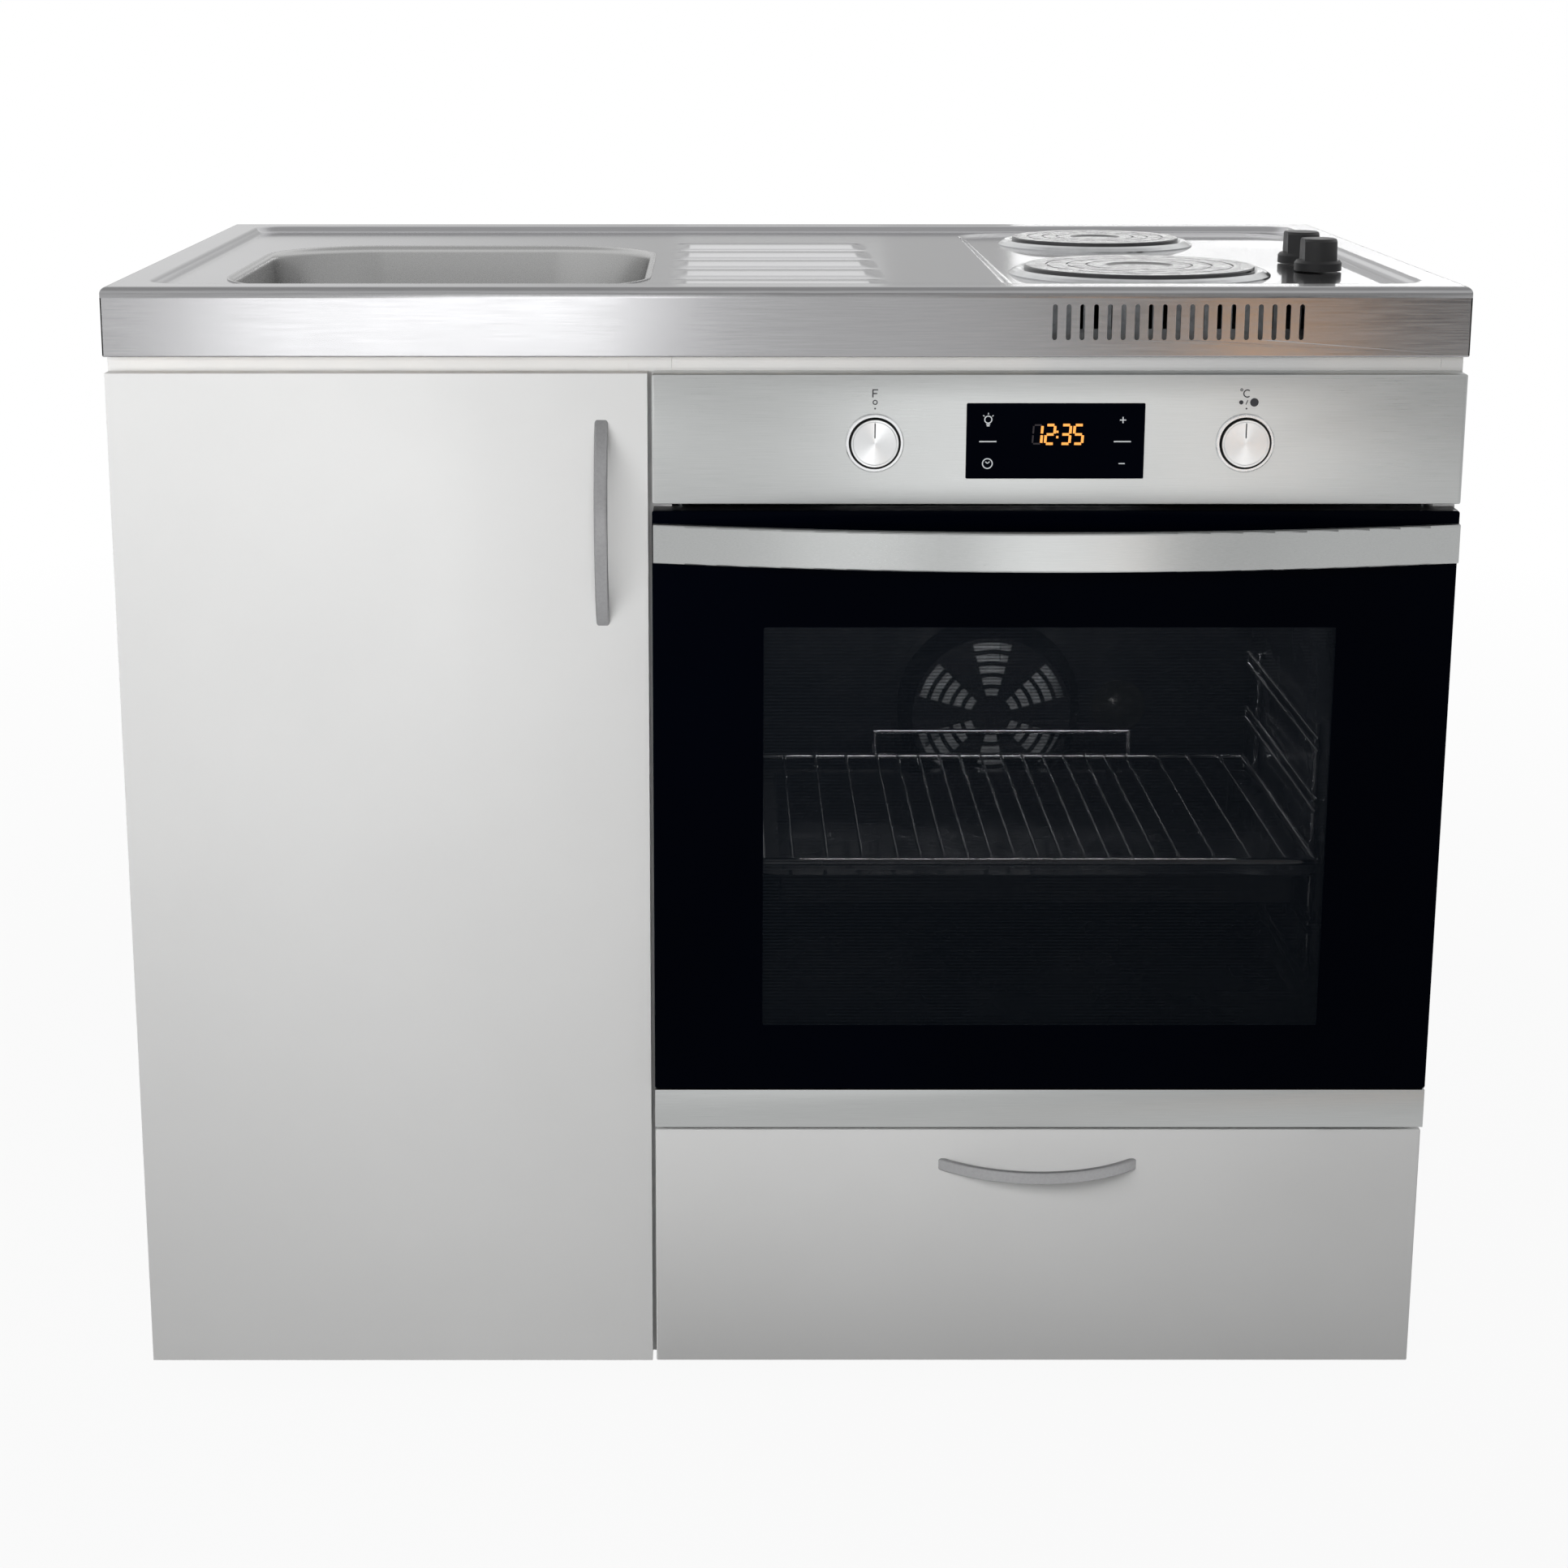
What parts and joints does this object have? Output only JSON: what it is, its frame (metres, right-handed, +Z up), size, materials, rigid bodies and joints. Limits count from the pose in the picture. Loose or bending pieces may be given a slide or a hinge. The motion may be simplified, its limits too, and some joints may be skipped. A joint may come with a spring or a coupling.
{
  "type": "kitchenette unit with sink and hob",
  "caption": "Kitchenette unit: pressed steel worktop with bowl, drainer and hotplates over a cupboard, a built-in oven and a drawer.",
  "frame": {"origin": "middle of the overall box, on the floor", "axes": "+X to the user's right, -Y out of the front, +Z up"},
  "size_m": [1, 0.6499, 0.889],
  "materials": {
    "white_laminate": "smooth white melamine laminate",
    "white_board": "thin white-faced board",
    "timber": "plain planed softwood",
    "brushed_steel": "stainless steel, brushed along its length",
    "polished_steel": "stainless steel, bright drawn",
    "zinc_plate": "zinc-plated sheet steel",
    "cast_iron": "turned cast iron, sealed black",
    "black_plastic": "black moulded plastic",
    "white_plastic": "white moulded plastic",
    "white_steel": "white powder-coated steel",
    "black_enamel": "dark vitreous enamel",
    "seal_rubber": "black silicone rubber",
    "black_glass": "black printed glass",
    "clear_glass": "clear glass",
    "satin_metal": "satin grey metal",
    "spun_aluminium": "spun aluminium",
    "chrome_wire": "bright plated wire"
  },
  "bodies": {
    "unit": {"outer_side_panels": "white_laminate", "sink_side_panel": "white_laminate", "oven_side_panel": "white_laminate", "bottom_panels": "white_laminate", "oven_shelf": "white_laminate", "back_panels": "white_board", "front_rails": "white_laminate", "rear_rails": "white_laminate", "levelling_feet": "black_plastic", "cupboard_shelf": "white_laminate", "shelf_pins": "zinc_plate", "carcass_screws": "zinc_plate", "worktop_sheet": "brushed_steel", "sink_bowl": "polished_steel", "worktop_battens": "timber", "hob_tray": "zinc_plate", "hotplate_front": "cast_iron", "hotplate_rear": "cast_iron", "hotplate_rims": "polished_steel", "hob_switches": "white_plastic", "waste_flange": "polished_steel", "bottle_trap": "white_plastic", "overflow_pipe": "white_plastic", "hinge_arms": "zinc_plate", "runners_fixed": "white_steel", "oven_housing": "zinc_plate", "oven_cavity": "black_enamel", "oven_seal": "seal_rubber", "control_panel": "brushed_steel", "display_glass": "black_glass", "knob_bezels": "spun_aluminium", "side_racks": "chrome_wire", "wire_shelf": "chrome_wire", "baking_tray": "black_enamel", "fan_guard": "black_enamel", "fan_motor": "zinc_plate", "oven_lamp": "clear_glass", "grill_element": "black_enamel", "oven_hinge_brackets": "zinc_plate"},
    "door": {"cupboard_door": "white_laminate", "door_handle": "satin_metal", "hinge_leaves": "zinc_plate"},
    "drawer": {"drawer_front": "white_laminate", "drawer_walls": "white_board", "drawer_bottom": "white_board", "drawer_handle": "satin_metal", "runners_moving": "white_steel"},
    "oven_door": {"oven_door_frame": "black_plastic", "oven_outer_glass": "black_glass", "oven_inner_glass": "clear_glass", "oven_handle": "brushed_steel", "oven_door_trim": "brushed_steel"},
    "function_stem": {"function_knob_stem": "white_plastic"},
    "function_cap": {"function_knob": "spun_aluminium"},
    "temperature_stem": {"temperature_knob_stem": "white_plastic"},
    "temperature_cap": {"temperature_knob": "spun_aluminium"},
    "front_hob_knob": {"hob_knob_front": "black_plastic"},
    "rear_hob_knob": {"hob_knob_rear": "black_plastic"},
    "fan": {"convection_fan": "zinc_plate"},
    "strainer": {"strainer_plug": "polished_steel"}
  },
  "joints": [
    {"name": "cupboard_door_hinge", "type": "hinge", "parent": "unit", "child": "door", "pos_m": [-0.4925, -0.2688, 0.4], "axis": [0, 0, -1], "range_deg": [0, 105]},
    {"name": "drawer_slide", "type": "slide", "parent": "unit", "child": "drawer", "axis": [0, -1, 0], "range_m": [0, 0.36]},
    {"name": "oven_door_hinge", "type": "hinge", "parent": "unit", "child": "oven_door", "pos_m": [0.2, -0.273, 0.228], "axis": [1, 0, 0], "range_deg": [0, 90]},
    {"name": "function_knob_pop", "type": "slide", "parent": "unit", "child": "function_stem", "axis": [0, -1, 0], "range_m": [0, 0.015]},
    {"name": "function_knob_turn", "type": "hinge", "parent": "function_stem", "child": "function_cap", "pos_m": [0.0654, -0.27, 0.7565], "axis": [0, 1, 0], "continuous": true},
    {"name": "temperature_knob_pop", "type": "slide", "parent": "unit", "child": "temperature_stem", "axis": [0, -1, 0], "range_m": [0, 0.015]},
    {"name": "temperature_knob_turn", "type": "hinge", "parent": "temperature_stem", "child": "temperature_cap", "pos_m": [0.3374, -0.27, 0.7565], "axis": [0, 1, 0], "range_deg": [0, 300]},
    {"name": "hob_knob_front_turn", "type": "hinge", "parent": "unit", "child": "front_hob_knob", "pos_m": [0.427, -0.075, 0.87], "axis": [0, 0, 1], "range_deg": [0, 300]},
    {"name": "hob_knob_rear_turn", "type": "hinge", "parent": "unit", "child": "rear_hob_knob", "pos_m": [0.427, -0.005, 0.87], "axis": [0, 0, 1], "range_deg": [0, 300]},
    {"name": "convection_fan_spin", "type": "hinge", "parent": "unit", "child": "fan", "pos_m": [0.192, 0.112, 0.457], "axis": [0, 1, 0], "continuous": true},
    {"name": "strainer_lift", "type": "slide", "parent": "unit", "child": "strainer", "axis": [0, 0, 1], "range_m": [0, 0.06]}
  ]
}
